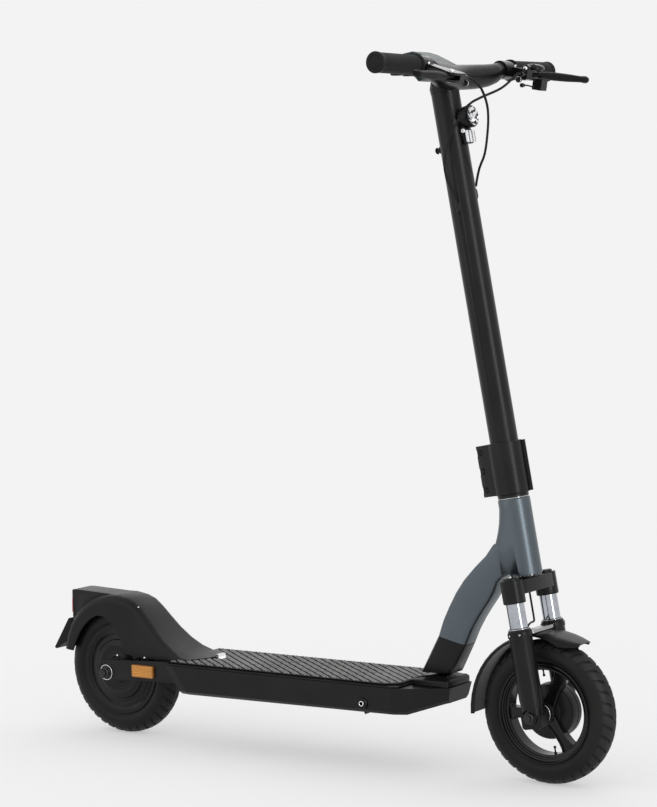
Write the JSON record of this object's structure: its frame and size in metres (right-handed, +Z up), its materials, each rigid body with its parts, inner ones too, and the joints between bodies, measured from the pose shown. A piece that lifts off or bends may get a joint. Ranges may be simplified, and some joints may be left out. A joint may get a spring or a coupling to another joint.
{
  "type": "folding electric scooter",
  "caption": "Folding electric kick scooter with air tyres, front suspension fork, hub motor, flat deck, folding stem, brake levers, thumb throttle and kickstand.",
  "frame": {"origin": "on the ground, at the middle of the overall length and width", "axes": "+X forward, +Y to the rider's left, +Z up"},
  "size_m": [1.2141, 0.568, 1.2597],
  "materials": {
    "black_aluminium": "satin black powder coat",
    "slate_aluminium": "satin grey-blue metallic paint",
    "black_steel": "black powder coat",
    "black_plastic": "fine-grained black plastic",
    "rubber": "matt black rubber",
    "tyre": "black tyre rubber",
    "chrome": "polished chrome",
    "steel": "zinc-plated steel",
    "amber_lens": "amber reflector lens",
    "red_lens": "red lamp lens",
    "clear_lens": "clear lens over a white reflector",
    "display_glass": "glossy black display cover",
    "cell_wrap": "blue shrink wrap",
    "potted_board": "potted aluminium case",
    "copper_winding": "wound copper on steel laminations"
  },
  "bodies": {
    "frame": {"deck_tub": "black_aluminium", "deck_plate": "black_aluminium", "deck_mat": "rubber", "battery_pack": "cell_wrap", "motor_controller": "potted_board", "neck_base": "black_aluminium", "neck": "slate_aluminium", "headset_upper": "steel", "headset_lower": "steel", "charge_socket": "steel", "dropout_right": "black_steel", "dropout_left": "black_steel", "rear_fender": "black_plastic", "tail_light": "red_lens", "mud_flap": "rubber", "rear_axle": "steel", "rear_nut": "steel", "reflector_right": "amber_lens", "reflector_left": "amber_lens", "motor_stator": "copper_winding", "fold_catch": "steel"},
    "rear_wheel": {"rear_tyre": "tyre", "rear_rim": "black_aluminium"},
    "kickstand": {"kickstand_leg": "black_steel"},
    "steering": {"steerer_tube": "black_steel", "fork_crown": "black_aluminium", "stanchion_right": "chrome", "stanchion_left": "chrome"},
    "fork_lower": {"lower_leg_right": "black_aluminium", "lower_leg_left": "black_aluminium", "fork_brace": "steel", "front_fender": "black_plastic", "front_axle": "steel", "front_nut": "steel", "brake_plate": "black_aluminium", "front_brake_cable": "rubber", "fork_spring_right": "steel", "fork_spring_left": "steel"},
    "front_wheel": {"front_tyre": "tyre", "front_rim": "black_aluminium"},
    "brake_arm": {"front_brake_arm": "steel"},
    "stem": {"stem_tube": "black_aluminium", "fold_collar": "black_aluminium", "handlebar": "black_aluminium", "display": "display_glass", "headlamp_housing": "black_plastic", "headlamp_lens": "clear_lens", "front_reflector": "clear_lens", "bag_hook": "black_plastic", "grip_right": "rubber", "grip_left": "rubber", "perch_right": "black_plastic", "perch_left": "black_plastic", "brake_cable_right": "rubber", "brake_cable_left": "rubber"},
    "lever_right": {"brake_lever_right": "black_aluminium"},
    "lever_left": {"brake_lever_left": "black_aluminium"},
    "throttle": {"throttle_lever": "black_plastic"},
    "horn": {"horn_button": "rubber"},
    "fold_clamp": {"fold_lever": "black_aluminium"}
  },
  "joints": [
    {"name": "steering_turn", "type": "hinge", "parent": "frame", "child": "steering", "pos_m": [0.482, 0, 0.125], "axis": [-0.1685, 0, 0.9857], "range_deg": [-40, 40]},
    {"name": "stem_fold", "type": "hinge", "parent": "steering", "child": "stem", "pos_m": [0.3739, 0, 0.50218], "axis": [0, -1, 0], "range_deg": [0, 97]},
    {"name": "fork_travel", "type": "slide", "parent": "steering", "child": "fork_lower", "axis": [-0.1685, 0, 0.9857], "range_m": [0, 0.03], "stiffness_N_per_m": 15000, "springref_m": -0.01, "deforming": ["fork_spring_right", "fork_spring_left"]},
    {"name": "front_wheel_spin", "type": "hinge", "parent": "fork_lower", "child": "front_wheel", "pos_m": [0.482, 0, 0.125], "axis": [0, 1, 0], "continuous": true},
    {"name": "rear_wheel_spin", "type": "hinge", "parent": "frame", "child": "rear_wheel", "pos_m": [-0.45, 0, 0.125], "axis": [0, 1, 0], "continuous": true},
    {"name": "brake_lever_right_pull", "type": "hinge", "parent": "stem", "child": "lever_right", "pos_m": [0.39108, -0.127, 1.2081], "axis": [-0.3469, 0, -0.9379], "range_deg": [0, 12], "stiffness_Nm_per_rad": 0.3, "springref_deg": -17.19},
    {"name": "brake_lever_left_pull", "type": "hinge", "parent": "stem", "child": "lever_left", "pos_m": [0.39364, 0.127, 1.21745], "axis": [0.1788, 0, 0.9839], "range_deg": [0, 12], "stiffness_Nm_per_rad": 0.3, "springref_deg": -17.19},
    {"name": "brake_arm_turn", "type": "hinge", "parent": "fork_lower", "child": "brake_arm", "pos_m": [0.45142, 0.0347, 0.12586], "axis": [0, 1, 0], "range_deg": [0, 7.5]},
    {"name": "throttle_press", "type": "hinge", "parent": "stem", "child": "throttle", "pos_m": [0.31438, -0.1561, 1.21871], "axis": [0, -1, 0], "range_deg": [0, 25], "stiffness_Nm_per_rad": 0.05, "springref_deg": -28.65},
    {"name": "horn_press", "type": "slide", "parent": "stem", "child": "horn", "axis": [0, -1, 0], "range_m": [0, 0.002], "stiffness_N_per_m": 500, "springref_m": -0.002},
    {"name": "fold_lever_swing", "type": "hinge", "parent": "stem", "child": "fold_clamp", "pos_m": [0.41487, 0.03424, 0.54266], "axis": [-0.1685, 0, 0.9857], "range_deg": [0, 100]},
    {"name": "kickstand_fold", "type": "hinge", "parent": "frame", "child": "kickstand", "pos_m": [0.152, 0.072, 0.1], "axis": [-0.0184, -0.8091, -0.5874], "range_deg": [0, 94]}
  ],
  "couplings": [
    {"joint": "brake_arm_turn", "follows": "brake_lever_right_pull", "ratio": 0.6}
  ]
}
